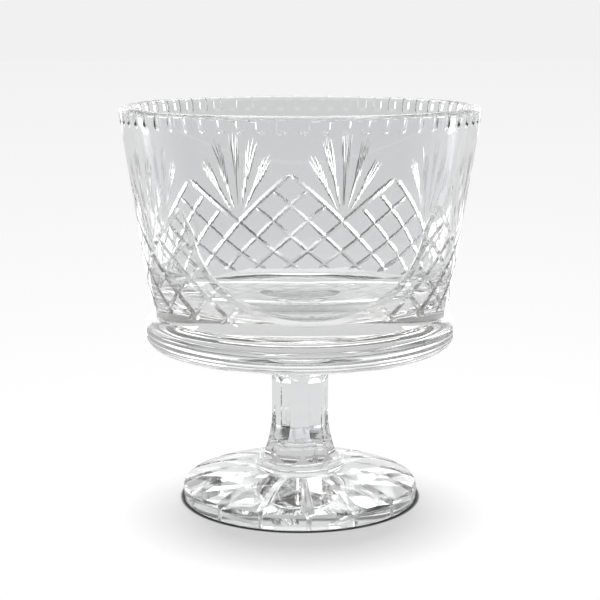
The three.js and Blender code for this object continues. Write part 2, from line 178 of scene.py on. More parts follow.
class FootSizes(PropertyGroup):
    """The domed foot and its radial cuts"""

    radius: length("Radius", "Outside of the foot", 67.7)
    edge: length("Edge height", "Height of the foot's upright edge", 8.3)
    edge_round: length("Edge rounding", "Rounding of the foot's edge", 1.2)
    crown: length("Crown", "How far the top bulges above a straight slope", 2)
    cuts: count("Cuts", "Radial cuts on the top", 16)
    cut_depth: length("Cut depth", "Depth of a radial cut at the edge", 2)
    cut_start: length("Cut start", "Depth of a radial cut near the collar", 0.4)
    line_depth: length("Line depth", "Depth of the fine cut along each side of a radial cut", 0.5)
    notch_depth: length("Notch depth", "Depth of the notch where a cut runs out over the edge", 0.8)


class GlassLook(PropertyGroup):
    """Colours and polish of the crystal and its bonds"""

    clear: tint("Clear tint", "Light that one polished wall lets through", (0.965, 0.969, 0.972))
    thick: tint("Thick tint", "Light that a thick solid piece lets through", (0.885, 0.894, 0.90))
    drift: tint("Drift tint", "Tint that the melt drifts to in places", (0.925, 0.932, 0.938))
    cut: tint("Cut tint", "Light that a cut face lets through", (0.985, 0.988, 0.99))
    film: tint("Film tint", "Light that a bond film lets through", (0.99, 0.99, 0.985))
    film_clearness: share("Film clearness", "Share of light that a bond film passes unscattered", 0.97)
    refraction: level("Refraction", "Refractive index of the crystal", 1.545)
    polish: share("Polish", "Roughness of the polished surface", 0.01)
    cut_polish: share("Cut polish", "Roughness of a cut face", 0.15)
    cut_clearness: share("Cut clearness", "Share of light that a cut face passes unscattered", 0.88)
    waviness: length("Waviness", "Height of the slow waves left by hand polishing", 0.02)


class StudioLook(PropertyGroup):
    """Floor, lamps and camera"""

    # The floor's glow is painted light: brighter beside the bowl, falling off to greyer far behind it
    near_floor: level("Floor", "Brightness of the floor beside the bowl", 1.06)
    far_floor: level("Far floor", "Brightness of the floor far behind the bowl", 0.88)
    floor_fall: length("Floor fall", "Distance over which the floor falls to half way between the two", 600)
    # Painted shade: the floor shows dimmer in glass than straight to the camera
    in_glass: share("Floor in glass", "Brightness of the floor in glass over that seen straight", 0.78)
    # The floor's shadow shows in a disc in front of the bowl: real shadow in the lamp-lit matt, and partly
    # painted shade where the matt is dimmer than the glow
    shadow: share("Shadow", "How strongly the floor takes the bowl's shadow", 0.5)
    # Painted light: under the foot the floor mostly glows in place of its real shadow
    under_foot: share("Under the foot", "Share of the shadow that lies under the clear foot", 0.3)
    contact: length("Contact shadow", "Half-width of the dark line where the foot meets the floor", 2.5)
    shadow_shift: length("Shadow shift", "How far the shadow's middle lies in front of the bowl's axis", 28)
    shadow_full: length("Shadow core", "Distance within which the floor takes the whole shadow", 60)
    shadow_reach: length("Shadow reach", "Distance at which the floor stops taking the shadow", 108)
    side_light: level("Side light", "Radiance of the bright cards that stand behind the bowl's sides", 1.15)
    top_light: level("Top light", "Radiance of the soft light above", 2.4)
    sweep: level("Sweep", "Brightness of the pale sweep behind the bowl", 1.15)
    room: level("Room", "Brightness of the room above and in front", 0.05)
    camera_distance: length("Camera distance", "From the bowl's axis to the camera, along the floor", 838.3)
    camera_height: length("Camera height", "Height of the camera above the floor", 273.6)
    camera_turn: angle("Camera turn", "How far the camera stands left of the front", 4)
    camera_pitch: angle("Camera pitch", "How far the camera looks down", 10.72)
    lens: FloatProperty(name="Lens", description="Focal length on a 36 mm sensor", default=89.41, min=1)


# Shader building


class Socket:
    """A value in a node tree. Arithmetic on it adds Math nodes."""

    def __init__(self, shader, link):
        self.shader = shader
        self.link = link

    def maths(self, operation, *values):
        return self.shader.node("ShaderNodeMath", {"operation": operation}, *values)

    def __add__(self, other):
        return self.maths("ADD", self, other)

    def __sub__(self, other):
        return self.maths("SUBTRACT", self, other)

    def __rsub__(self, other):
        return self.maths("SUBTRACT", other, self)

    def __mul__(self, other):
        return self.maths("MULTIPLY", self, other)

    def __truediv__(self, other):
        return self.maths("DIVIDE", self, other)

    def __rtruediv__(self, other):
        return self.maths("DIVIDE", other, self)

    __radd__ = __add__
    __rmul__ = __mul__

    def clamped(self, low=0.0, high=1.0):
        return self.maths("MINIMUM", self.maths("MAXIMUM", self, low), high)


class Shader:
    """Builds one node tree."""

    def __init__(self, tree):
        self.tree = tree
        tree.nodes.clear()

    def node(self, kind, settings=None, *values, output=None, **named):
        """Adds a node: its settings first, then its sockets by position or by name."""
        made = self.tree.nodes.new(kind)
        for key, value in (settings or {}).items():
            setattr(made, key, value)
        shown = [socket for socket in made.inputs if socket.enabled]
        pairs = [*zip(shown, values), *((made.inputs[key], value) for key, value in named.items())]
        for socket, value in pairs:
            if isinstance(value, Socket):
                self.tree.links.new(value.link, socket)
            else:
                socket.default_value = value
        links = [link for link in made.outputs if link.enabled and output in (None, link.name)]
        return Socket(self, links[0]) if links else None

    def mixed(self, factor, first, second):
        """A colour between two colours."""
        return self.node("ShaderNodeMix", {"data_type": "RGBA"}, factor, first, second)

    def noise(self, waves, octaves):
        """Noise fixed to the object, with so many waves to the metre and finer octaves in them."""
        place = self.node("ShaderNodeTexCoord", output="Object")
        return self.node("ShaderNodeTexNoise", None, Vector=place, Scale=waves, Detail=octaves)

    def bumped(self, height, distance, strength=1.0):
        """A normal that follows the slopes of a height."""
        return self.node("ShaderNodeBump", None, Strength=strength, Distance=distance, Height=height)

    def distance(self, place):
        """How far a place lies from the origin."""
        return self.node("ShaderNodeVectorMath", {"operation": "LENGTH"}, place, output="Value")

    def principled(self, sockets):
        """A Principled surface with these sockets set."""
        return self.node("ShaderNodeBsdfPrincipled", None, **sockets)

    def finished(self, surface):
        """Ends a material in its surface."""
        self.node("ShaderNodeOutputMaterial", None, Surface=surface)


def opaque(colour):
    """A colour with full alpha."""
    return (*colour, 1.0)


def material(name):
    """A new material and the builder of its node tree."""
    made = bpy.data.materials.new(name)
    made.use_nodes = True
    return made, Shader(made.node_tree)


# Noise in the finishes: waves to the metre, and finer octaves in them
MELT = (14.0, 1.0)
POLISHING = (55.0, 0.5)
WHEEL_MARKS = (900.0, 2.0)
WHEEL_DRIFT = (120.0, 1.0)
ADHESIVE = (80.0, 1.0)

# Roughness of a cut face between the wheel marks and what the marks add, as shares of its mean
MARK_BASE = 0.6
MARK_RANGE = 0.8

# Share of the polishing waves that a cut face shows
CUT_WAVINESS = 0.6


def polished_crystal(name, colour, look):
    """Clear polished crystal: slow hand-polishing waves, and a tint that drifts with the melt."""
    made, shader = material(name)
    wave = shader.noise(*POLISHING)
    surface = shader.principled({
        "Base Color": shader.mixed(shader.noise(*MELT), opaque(colour), opaque(look.drift)),
        "Roughness": wave * look.polish,
        "Normal": shader.bumped(wave, look.waviness),
        "IOR": look.refraction,
        "Transmission Weight": 1.0,
    })
    shader.finished(surface)
    return made


def wheel_cut_crystal(name, look):
    """Crystal cut by a mitre wheel and acid-polished: fine wheel marks under a soft gloss."""
    made, shader = material(name)
    drift = shader.noise(*WHEEL_DRIFT)
    surface = shader.principled({
        "Base Color": shader.mixed(drift, opaque(look.cut), opaque(look.clear)),
        "Roughness": look.cut_polish * (MARK_BASE + MARK_RANGE * shader.noise(*WHEEL_MARKS)),
        "Normal": shader.bumped(drift, look.waviness, CUT_WAVINESS),
        "IOR": look.refraction,
        "Transmission Weight": look.cut_clearness,
    })
    shader.finished(surface)
    return made


def index_matched(name, colour, clearness, look):
    """Where glass meets cured adhesive of its own refractive index, light passes straight on."""
    made, shader = material(name)
    surface = shader.principled({
        "Base Color": shader.mixed(shader.noise(*ADHESIVE), opaque(colour), opaque(look.film)),
        "Roughness": 0.0,
        "IOR": 1.0,
        "Transmission Weight": clearness,
    })
    shader.finished(surface)
    return made


def finish(make, name, *values):
    """The named material, made the first time that it is asked for."""
    return bpy.data.materials.get(name) or make(name, *values)


def glass_finishes(context, thick):
    """Finishes of a glass piece, in the order of its places."""
    look = context.scene.crystal_glass
    if thick:
        polished = finish(polished_crystal, "solid_crystal", look.thick, look)
    else:
        polished = finish(polished_crystal, "wall_crystal", look.clear, look)
    cut = finish(wheel_cut_crystal, "wheel_cut_crystal", look)
    return [polished, cut, finish(index_matched, "bonded_face", WHITE, 1.0, look)]


# Turning and cutting

# Lengths below this count as none
TINY = 1e-7

# Edges that bend less than this are shaded smooth
SMOOTH_BELOW = math.radians(16)

# A straight run longer than this is held straight from this far inside its ends
LONG_RUN = 3 * MM
HOLD = 0.15 * MM

# Points of a carved piece closer than this are welded
WELD = 0.005 * MM


def facing(turn):
    """Outward direction at an angle from the front."""
    return Vector((math.sin(turn), -math.cos(turn), 0))


def sideways(turn):
    """Direction along the rim at an angle from the front."""
    return Vector((math.cos(turn), math.sin(turn), 0))


def arc(centre_radius, centre_height, radius, start, stop, steps):
    """Points of an arc about a centre, from one angle to another in degrees."""
    turns = [math.radians(start + (stop - start) * i / steps) for i in range(steps + 1)]
    return [(centre_radius + radius * math.cos(t), centre_height + radius * math.sin(t)) for t in turns]


def held(outline):
    """The outline with extra points near both ends of its long straight runs, so that smooth shading
    rounds only the ends of a run and the run itself stays straight."""
    points = [Vector(point) for point in outline]
    made = points[:1]
    for first, last in zip(points, points[1:]):
        run = last - first
        if run.length > LONG_RUN:
            hold = run.normalized() * HOLD
            made += [first + hold, last - hold]
        made.append(last)
    return [tuple(point) for point in made]


def turned(name, outline, segments, bonds=()):
    """Mesh turned about the axis, from (radius, height) points that run from the axis out, up and back.
    bonds gives (height, radius) of the flat faces that are bonded to a neighbour inside that radius."""
    outline = held(outline)
    mesh = bpy.data.meshes.new(name)
    shape = bmesh.new()
    turns = [math.tau * i / segments for i in range(segments)]
    rings = []
    for radius, height in outline:
        if radius < TINY:
            rings.append([shape.verts.new((0, 0, height))] * segments)
        else:
            circle = [(radius * math.cos(t), radius * math.sin(t), height) for t in turns]
            rings.append([shape.verts.new(point) for point in circle])
    for (lower, upper), first, second in zip(zip(outline, outline[1:]), rings, rings[1:]):
        bonded = any(
            abs(lower[1] - height) < TINY and abs(upper[1] - height) < TINY
            and max(lower[0], upper[0]) < radius + TINY
            for height, radius in bonds
        )
        for i in range(segments):
            j = (i + 1) % segments
            corners = list(dict.fromkeys((first[i], first[j], second[j], second[i])))
            face = shape.faces.new(corners)
            face.material_index = BONDED if bonded else POLISHED
    shape.to_mesh(mesh)
    shape.free()
    return mesh


def lofted(shape, rings):
    """Adds a closed solid through rings of points that all have the same count."""
    made = [[shape.verts.new(point) for point in ring] for ring in rings]
    sides = len(rings[0])
    for lower, upper in zip(made, made[1:]):
        for i in range(sides):
            j = (i + 1) % sides
            shape.faces.new((lower[i], lower[j], upper[j], upper[i]))
    shape.faces.new(reversed(made[0]))
    shape.faces.new(made[-1])


def cutter(name, solids, slot=CUT):
    """Object of separate cutting solids that don't touch each other, and the finish that they leave."""
    shape = bmesh.new()
    for rings in solids:
        lofted(shape, rings)
    bmesh.ops.triangulate(shape, faces=shape.faces)
    for face in shape.faces:
        face.material_index = slot
    mesh = bpy.data.meshes.new(name)
    shape.to_mesh(mesh)
    shape.free()
    made = bpy.data.objects.new(name, mesh)
    bpy.context.scene.collection.objects.link(made)
    return made


def welded(mesh):
    """Welds the points of a carved mesh that lie too close together to show, drops faces without area,
    and splits the many-sided faces that the cuts leave."""
    shape = bmesh.new()
    shape.from_mesh(mesh)
    bmesh.ops.remove_doubles(shape, verts=shape.verts, dist=WELD)
    bmesh.ops.dissolve_degenerate(shape, edges=shape.edges, dist=WELD)
    bmesh.ops.triangulate(shape, faces=[face for face in shape.faces if len(face.verts) > 4])
    shape.to_mesh(mesh)
    shape.free()


def glass_piece(context, name, node, mesh, cutters=(), thick=True):
    """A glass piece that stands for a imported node: its blank, carved by each cutter in turn."""
    piece = bpy.data.objects.new(name, mesh)
    context.scene.collection.objects.link(piece)
    finishes = glass_finishes(context, thick)
    for finished in finishes:
        mesh.materials.append(finished)
    for tool in cutters:
        for finished in finishes:
            tool.data.materials.append(finished)
        carve = piece.modifiers.new(tool.name, "BOOLEAN")
        carve.operation = "DIFFERENCE"
        carve.solver = "MANIFOLD"
        carve.object = tool
    depsgraph = context.evaluated_depsgraph_get()
    carved = bpy.data.meshes.new_from_object(piece.evaluated_get(depsgraph))
    if not carved.polygons:
        raise RuntimeError(f"the cuts left nothing of {name}")
    welded(carved)
    piece.modifiers.clear()
    piece.data = carved
    carved.name = name
    for tool in cutters:
        bpy.data.objects.remove(tool)
    carved.shade_smooth()
    carved.set_sharp_from_angle(angle=SMOOTH_BELOW)
    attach(piece, BODY)
    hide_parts(node)


# Mitre cuts

# How far a cutting solid stands above the glass, and how far the wheel is lifted off where a cut ends
WHEEL_ABOVE = 0.4 * MM
WHEEL_LIFT = 0.15 * MM


def mitre(stations, flare):
    """Rings of a mitre-wheel cut through stations of (point, outward, depth)."""
    points = [point for point, _, _ in stations]
    rings = []
    for i, (point, outward, depth) in enumerate(stations):
        along = (points[min(i + 1, len(points) - 1)] - points[max(i - 1, 0)]).normalized()
        across = along.cross(outward).normalized()
        half = (depth + WHEEL_ABOVE) * flare
        top = point + outward * WHEEL_ABOVE
        rings.append((point - outward * depth, top - across * half, top + across * half))
    return rings


def wheel_depth(depth, fullness):
    """Depth of a cut where it is full (1), where the wheel has left the glass (0), or between."""
    return -WHEEL_LIFT + (depth + WHEEL_LIFT) * fullness


class Wall:
    """The straight outside of the cup, in angles from the front and heights above its base."""

    def __init__(self, cup):
        self.foot, self.top = levels("bowl")
        self.height = self.top - self.foot
        self.base = cup.base_radius
        self.taper = (cup.rim_radius - cup.base_radius) / self.height
        self.tilt = math.atan(self.taper)

    def radius(self, height):
        return self.base + self.taper * height

    def at(self, turn, height):
        """Point on the wall and its outward direction."""
        radial = facing(turn)
        point = radial * self.radius(height) + AXIS * (self.foot + height)
        return point, radial * math.cos(self.tilt) - AXIS * math.sin(self.tilt)

    def cut(self, path, flare):
        """Mitre cut along a path of (turn, height, depth)."""
        return mitre([(*self.at(turn, height), depth) for turn, height, depth in path], flare)


# Cup

CUP_SEGMENTS = 384
CORNER_STEPS = 20
LIP_STEPS = 12
FLUTE_NOSE_STEPS = 10
FLUTE_SIDES = 18
FAN_STEPS = 14
BORDER_STEPS = 40

# How far the cutting solid of a flute stands above the glass
FLUTE_ABOVE = 0.1 * MM

# Step between the spots of a lattice cut, in rows; a run of no more than this many spots isn't cut
LATTICE_STEP = 0.25
SHORTEST_RUN = 4

# The side cuts of a fan blade: where along it they leave it, how much they bend, how much shorter they are
FORK_START = 0.34
FORK_BEND = 1.5
FORK_SHORT = 3 * MM

# How the depth of a fan cut swells from its root and fades to its tip
SWELL_LEAN = 0.9
SWELL_POWER = 0.75


def cup_outline(cup, wall):
    """Outline of the cup with its cavity, and the bond under its base."""
    film = reach("bowl_bond")
    inner_taper = (cup.rim_radius - cup.rim_wall - cup.base_radius + cup.base_wall) / wall.height
    inner_tilt = math.atan(inner_taper)
    corner_height = cup.floor + cup.corner
    corner_wall = cup.base_radius - cup.base_wall + inner_taper * corner_height
    corner_centre = corner_wall - cup.corner / math.cos(inner_tilt)
    lip = cup.rim_wall / 2
    lip_height = wall.height - lip
    lean = math.degrees(wall.tilt)
    lip_centre = wall.radius(lip_height) - lip / math.cos(wall.tilt)
    outline = [(0, 0), (film, 0), (cup.base_radius - cup.chamfer, 0)]
    outline += [(wall.radius(cup.chamfer), cup.chamfer)]
    outline += arc(lip_centre, lip_height, lip, -lean, 180 - lean, LIP_STEPS)
    outline += arc(corner_centre, corner_height, cup.corner, -math.degrees(inner_tilt), -90, CORNER_STEPS)
    outline += [(0, cup.floor)]
    return [(radius, wall.foot + height) for radius, height in outline], [(wall.foot, film)]


def rim_flutes(cup, wall):
    """Round-nosed flutes side by side round the rim."""
    sink = cup.flute_radius - cup.flute_depth
    nose = math.sqrt(cup.flute_radius ** 2 - sink ** 2)
    nose_height = wall.height - cup.flute_length + nose
    runs = [nose * math.cos(math.pi / 2 * i / FLUTE_NOSE_STEPS) for i in range(FLUTE_NOSE_STEPS + 1)]
    spots = [(-run, math.sqrt(cup.flute_radius ** 2 - run ** 2)) for run in runs]
    spots += [(cup.flute_length, cup.flute_radius)]
    solids = []
    for number in range(cup.flute_count):
        turn = math.tau * (number + 0.5) / cup.flute_count
        across = sideways(turn)
        rings = []
        for run, radius in spots:
            point, outward = wall.at(turn, nose_height + run * math.cos(wall.tilt))
            opening = math.acos((sink - FLUTE_ABOVE) / radius)
            swings = [opening * (1 - 2 * i / FLUTE_SIDES) for i in range(FLUTE_SIDES + 1)]
            rings.append([
                point + outward * (sink - radius * math.cos(swing)) + across * radius * math.sin(swing)
                for swing in swings
            ])
        solids.append(rings)
    return solids


class Pattern:
    """Where the zigzag, lattice, fans and plain panel lie on the wall."""

    def __init__(self, sizes, wall):
        self.sizes = sizes
        self.wall = wall
        self.unit = math.tau / sizes.units
        self.panel = self.unit * sizes.plain_units / 2
        self.border = self.panel - sizes.panel_inset
        self.half_cell = self.unit / sizes.cells / 2
        self.row = sizes.valley_drop / sizes.cells
        self.rows = (sizes.apex_height - sizes.lattice_foot) / self.row

    def height(self, row):
        return self.sizes.apex_height - self.row * row

    def panel_half(self, height):
        """Half the plain panel's angle at a height."""
        rise = min(max((height - self.sizes.panel_foot) / self.sizes.panel_round, 0), 1)
        return self.border * math.sqrt(1 - (1 - rise) ** 2)

    def holds(self, turn, row):
        """Whether the lattice covers this spot: below the zigzag, or beside the plain panel's border."""
        from_front = abs((turn + math.pi) % math.tau - math.pi)
        if from_front < self.panel:
            return from_front > self.panel_half(self.height(row))
        cells = (from_front - self.panel) / self.half_cell
        period = 2 * self.sizes.cells
        fall = abs((cells + self.sizes.cells) % period - self.sizes.cells)
        return row >= fall - LATTICE_STEP / 2

    def lattice(self, lean):
        """Cuts that all lean one way, as long as the lattice holds them."""
        sizes = self.sizes
        solids = []
        rows = [LATTICE_STEP * i for i in range(int(self.rows / LATTICE_STEP) + 1)]
        for line in range(sizes.units * sizes.cells):
            start = self.panel + 2 * self.half_cell * line
            depth = sizes.main_depth if line % sizes.cells == 0 else sizes.lattice_depth
            for run in self.runs([(start + lean * self.half_cell * row, row) for row in rows]):
                ends = (0, len(run) - 1)
                path = [
                    (turn, self.height(row), wheel_depth(depth, 0 if i in ends else 1))
                    for i, (turn, row) in enumerate(run)
                ]
                solids.append(self.wall.cut(path, sizes.cut_flare))
        return solids

    def runs(self, spots):
        """Unbroken stretches of spots that the lattice holds, without the shortest."""
        found = [[]]
        for spot in spots:
            if self.holds(*spot):
                found[-1].append(spot)
            elif found[-1]:
                found.append([])
        return [run for run in found if len(run) > SHORTEST_RUN]

    def fans(self, side):
        """One of the three cuts of every blade: the middle one (0), or the one to a side (-1 or 1)."""
        sizes = self.sizes
        valley = sizes.apex_height - sizes.valley_drop
        solids = []
        for unit in range(sizes.units - sizes.plain_units):
            centre = self.panel + self.unit * (unit + 0.5)
            for blade in range(sizes.fan_blades):
                from_middle = blade - (sizes.fan_blades - 1) / 2
                lean = sizes.fan_angle * from_middle
                tip = sizes.fan_length - sizes.fan_drop * from_middle ** 2 - abs(side) * FORK_SHORT
                root = sizes.fan_gap + abs(side) * FORK_START * (tip - sizes.fan_gap)
                path = []
                for i in range(FAN_STEPS + 1):
                    along = i / FAN_STEPS
                    run = root + (tip - root) * along
                    bend = lean + side * sizes.fan_split * (1 - root / run) * FORK_BEND
                    height = valley + run * math.cos(bend)
                    turn = centre + run * math.sin(bend) / self.wall.radius(height)
                    swell = math.sin(math.pi * along ** SWELL_LEAN) ** SWELL_POWER if 0 < along < 1 else 0
                    path.append((turn, height, wheel_depth(sizes.fan_depth, swell)))
                solids.append(self.wall.cut(path, sizes.cut_flare))
        return solids

    def panel_border(self):
        """Cut down from one apex, round the plain panel's lower edge and up to the other apex."""
        sizes = self.sizes
        swings = [math.pi / 2 * (2 * i / BORDER_STEPS - 1) for i in range(BORDER_STEPS + 1)]
        path = [(-self.panel, sizes.apex_height, -WHEEL_LIFT)]
        for swing in swings:
            height = sizes.panel_foot + sizes.panel_round * (1 - math.cos(swing))
            path.append((self.border * math.sin(swing), height, sizes.border_depth))
        path.append((self.panel, sizes.apex_height, -WHEEL_LIFT))
        return [self.wall.cut(path, sizes.border_flare)]


class CRYSTAL_OT_cup(Operator):
    """Turn the cup and cut its flutes, zigzag, lattice, fans and panel border"""

    bl_idname = "crystal.cup"
    bl_label = "Cut cup"

    def execute(self, context):
        cup = context.scene.crystal_cup
        wall = Wall(cup)
        pattern = Pattern(context.scene.crystal_pattern, wall)
        outline, bonds = cup_outline(cup, wall)
        cutters = [
            cutter("rim_flutes", rim_flutes(cup, wall), POLISHED),
            cutter("lattice_right", pattern.lattice(1)),
            cutter("lattice_left", pattern.lattice(-1)),
            cutter("fans_middle", pattern.fans(0)),
            cutter("fans_left", pattern.fans(-1)),
            cutter("fans_right", pattern.fans(1)),
            cutter("panel_border", pattern.panel_border()),
        ]
        blank = turned("cut_cup", outline, CUP_SEGMENTS, bonds)
        glass_piece(context, "cut_cup", "bowl", blank, cutters, thick=False)
        return {"FINISHED"}


# Plate, stem and collars

ROUND_SEGMENTS = 192
BEAD_STEPS = 40
FLARE_STEPS = 20
ROUNDING_STEPS = 6
FLAT_STEPS = 8

# Powers of the curves in which the stem and its collar flare
STEM_CURVE = 1.4
COLLAR_CURVE = 2


class CRYSTAL_OT_plate(Operator):
    """Turn the plate with its full-round bead edge"""

    bl_idname = "crystal.plate"
    bl_label = "Bead-edged plate"

    def execute(self, context):
        foot, top = levels("base_plate")
        bead = (top - foot) / 2
        face = reach("base_plate") - bead
        lower, upper = reach("plate_bond"), reach("bowl_bond")
        outline = [(0, foot), (lower, foot)]
        outline += arc(face, foot + bead, bead, -90, 90, BEAD_STEPS)
        outline += [(upper, top), (0, top)]
        mesh = turned("bead_plate", outline, CUP_SEGMENTS, [(foot, lower), (top, upper)])
        glass_piece(context, "bead_plate", "base_plate", mesh)
        return {"FINISHED"}


def stem_radius(stand, height):
    """Radius of the stem at a height above its lower end: straight above, flared below."""
    flare = max(1 - height / stand.stem_flare, 0)
    return stand.stem_top + (stand.stem_foot - stand.stem_top) * flare ** STEM_CURVE


def stem_flats(stand, foot, tall):
    """Flats ground along the stem, arched at both ends, in two sets that don't touch."""
    outer = stand.stem_foot + WHEEL_ABOVE
    ends = [stand.flat_end * i / FLAT_STEPS for i in range(FLAT_STEPS + 1)]
    middle = [stand.flat_end + (tall - 2 * stand.flat_end) * i / FLARE_STEPS for i in range(1, FLARE_STEPS)]
    heights = ends + middle + [tall - end for end in reversed(ends)]
    half = outer * math.tan(math.pi / stand.stem_flats)
    sets = ([], [])
    for number in range(stand.stem_flats):
        turn = Matrix.Rotation(math.tau * (number + 0.5) / stand.stem_flats, 3, "Z")
        rings = []
        for height in heights:
            near = min(height, tall - height) / stand.flat_end
            arch = 1 - max(1 - near, 0) ** 2
            face = stem_radius(stand, height) - wheel_depth(stand.flat_depth, arch)
            corners = ((face, half), (face, -half), (outer, -half), (outer, half))
            rings.append([turn @ Vector((x, y, foot + height)) for x, y in corners])
        sets[number % 2].append(rings)
    return sets


class CRYSTAL_OT_stem(Operator):
    """Turn the stem and grind its flats"""

    bl_idname = "crystal.stem"
    bl_label = "Panelled stem"

    def execute(self, context):
        stand = context.scene.crystal_stand
        foot, top = levels("stem")
        lower, upper = reach("stem_foot_bond"), reach("stem_top_bond")
        steps = [stand.stem_flare * i / FLARE_STEPS for i in range(FLARE_STEPS + 1)]
        outline = [(0, foot), (lower, foot)]
        outline += [(stem_radius(stand, height), foot + height) for height in steps]
        outline += [(stand.stem_top, top), (upper, top), (0, top)]
        mesh = turned("panelled_stem", outline, ROUND_SEGMENTS, [(foot, lower), (top, upper)])
        even, odd = stem_flats(stand, foot, top - foot)
        cutters = [cutter("stem_flats_even", even, POLISHED), cutter("stem_flats_odd", odd, POLISHED)]
        glass_piece(context, "panelled_stem", "stem", mesh, cutters)
        return {"FINISHED"}


class CRYSTAL_OT_collars(Operator):
    """Turn the flared collar at the head of the stem and the stepped ring on the foot"""

    bl_idname = "crystal.collars"
    bl_label = "Stem collar and foot ring"

    def execute(self, context):
        stand = context.scene.crystal_stand
        self.stem_collar(context, stand)
        self.foot_ring(context, stand)
        return {"FINISHED"}

    def stem_collar(self, context, stand):
        foot, top = levels("stem_collar")
        lower, upper = reach("stem_top_bond"), reach("plate_bond")
        lip = stand.stem_top + stand.collar_overhang
        rounding = stand.collar_overhang
        outline = [(0, foot), (lower, foot)]
        outline += arc(lip - rounding, foot + rounding, rounding, -90, 0, ROUNDING_STEPS)
        for i in range(FLARE_STEPS + 1):
            rise = i / FLARE_STEPS
            height = foot + stand.collar_lip + (top - foot - stand.collar_lip) * rise
            outline.append((lip + (stand.collar_head - lip) * rise ** COLLAR_CURVE, height))
        outline += [(upper, top), (0, top)]
        mesh = turned("stem_head_collar", outline, ROUND_SEGMENTS, [(foot, lower), (top, upper)])
        glass_piece(context, "stem_head_collar", "stem_collar", mesh)

    def foot_ring(self, context, stand):
        foot, top = levels("foot_collar")
        lower, upper = reach("foot_bond"), reach("stem_foot_bond")
        outer = reach("foot_collar")
        crest = stand.stem_foot + stand.ring_land
        step = crest + stand.ring_slope
        ledge = (foot + top) / 2
        rounding = stand.ring_round
        outline = [(0, foot), (lower, foot), (outer, foot)]
        outline += arc(outer - rounding, ledge - rounding, rounding, 0, 90, ROUNDING_STEPS)
        outline += [(step, ledge)]
        outline += arc(step - rounding, top - rounding, rounding, 0, 90, ROUNDING_STEPS)
        outline += [(crest, top), (upper, top), (0, top)]
        mesh = turned("foot_ring", outline, ROUND_SEGMENTS, [(foot, lower), (top, upper)])
        glass_piece(context, "foot_ring", "foot_collar", mesh)


# Foot

DOME_STEPS = 24
FOOT_CUT_STEPS = 12

# Half-widths of the radial cuts and of the notches over their depths
FOOT_FLARE = 1.3
NOTCH_FLARE = 1.9


class Dome:
    """The foot's domed top, from the collar (0) to the edge (1)."""

    def __init__(self, sizes):
        self.sizes = sizes
        self.foot, self.top = levels("foot")
        self.inner = reach("foot_collar")
        self.width = sizes.radius - self.inner
        self.fall = self.foot + sizes.edge - self.top

    def radius(self, t):
        return self.inner + self.width * t

    def height(self, t):
        return self.top + self.fall * t + self.sizes.crown * 4 * t * (1 - t)

    def slope(self, t):
        return (self.fall + self.sizes.crown * 4 * (1 - 2 * t)) / self.width

    def cut(self, number, side=0):
        """Radial cut that deepens from the collar out past the edge, or the fine line on a side of it."""
        sizes = self.sizes
        turn = math.tau * number / sizes.cuts
        radial = facing(turn)
        across = sideways(turn)
        start = sizes.edge_round / self.width
        end = 1 + sizes.cut_depth / self.width
        stations = []
        for i in range(FOOT_CUT_STEPS + 1):
            along = i / FOOT_CUT_STEPS
            t = start + (end - start) * along
            full = sizes.cut_start + (sizes.cut_depth - sizes.cut_start) * along
            beside = side * (full * FOOT_FLARE + sizes.line_depth)
            point = radial * self.radius(t) + across * beside + AXIS * self.height(t)
            outward = (AXIS - radial * self.slope(t)).normalized()
            depth = sizes.line_depth if side else full
            stations.append((point, outward, wheel_depth(depth, 1 if i else 0)))
        return mitre(stations, FOOT_FLARE)

    def notch(self, number):
        """Upright notch in the edge where a radial cut runs out."""
        sizes = self.sizes
        outward = facing(math.tau * number / sizes.cuts)
        heights = (self.foot - WHEEL_ABOVE, self.foot + sizes.edge + 2 * WHEEL_ABOVE)
        points = [outward * sizes.radius + AXIS * height for height in heights]
        return mitre([(point, outward, sizes.notch_depth) for point in points], NOTCH_FLARE)


class CRYSTAL_OT_foot(Operator):
    """Turn the domed foot and cut its radial mitres and edge notches"""

    bl_idname = "crystal.foot"
    bl_label = "Domed foot"

    def execute(self, context):
        sizes = context.scene.crystal_foot
        dome = Dome(sizes)
        film = reach("foot_bond")
        heel = sizes.edge_round / 2
        outline = [(0, dome.foot)]
        outline += arc(sizes.radius - heel, dome.foot + heel, heel, -90, 0, ROUNDING_STEPS)
        outline += [(sizes.radius, dome.foot + sizes.edge - sizes.edge_round)]
        edge = 1 - sizes.edge_round / dome.width
        for i in range(DOME_STEPS + 1):
            t = edge * (1 - i / DOME_STEPS)
            outline.append((dome.radius(t), dome.height(t)))
        outline += [(film, dome.top), (0, dome.top)]
        mesh = turned("domed_foot", outline, ROUND_SEGMENTS, [(dome.top, film)])
        numbers = range(sizes.cuts)
        cutters = [
            cutter("foot_cuts", [dome.cut(number) for number in numbers]),
            cutter("foot_lines_left", [dome.cut(number, -1) for number in numbers]),
            cutter("foot_lines_right", [dome.cut(number, 1) for number in numbers]),
            cutter("foot_notches", [dome.notch(number) for number in numbers]),
        ]
        glass_piece(context, "domed_foot", "foot", mesh, cutters)
        return {"FINISHED"}


# Bond films

FILMS = ("foot_bond", "stem_foot_bond", "stem_top_bond", "plate_bond", "bowl_bond")


class CRYSTAL_OT_films(Operator):
    """Finish the cured adhesive films between the glass pieces"""

    bl_idname = "crystal.films"
    bl_label = "Bond films"

    def execute(self, context):
        look = context.scene.crystal_glass
        cured = finish(index_matched, "cured_film", look.film, look.film_clearness, look)
        for node in FILMS:
            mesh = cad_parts[node].data
            mesh.materials.clear()
            mesh.materials.append(cured)
        return {"FINISHED"}


# Stage

FLOOR_RADIUS = 9.0
FLOOR_SEGMENTS = 64

# The floor lies this far below the foot, so that the two share no face
FLOOR_DROP = 0.3 * MM

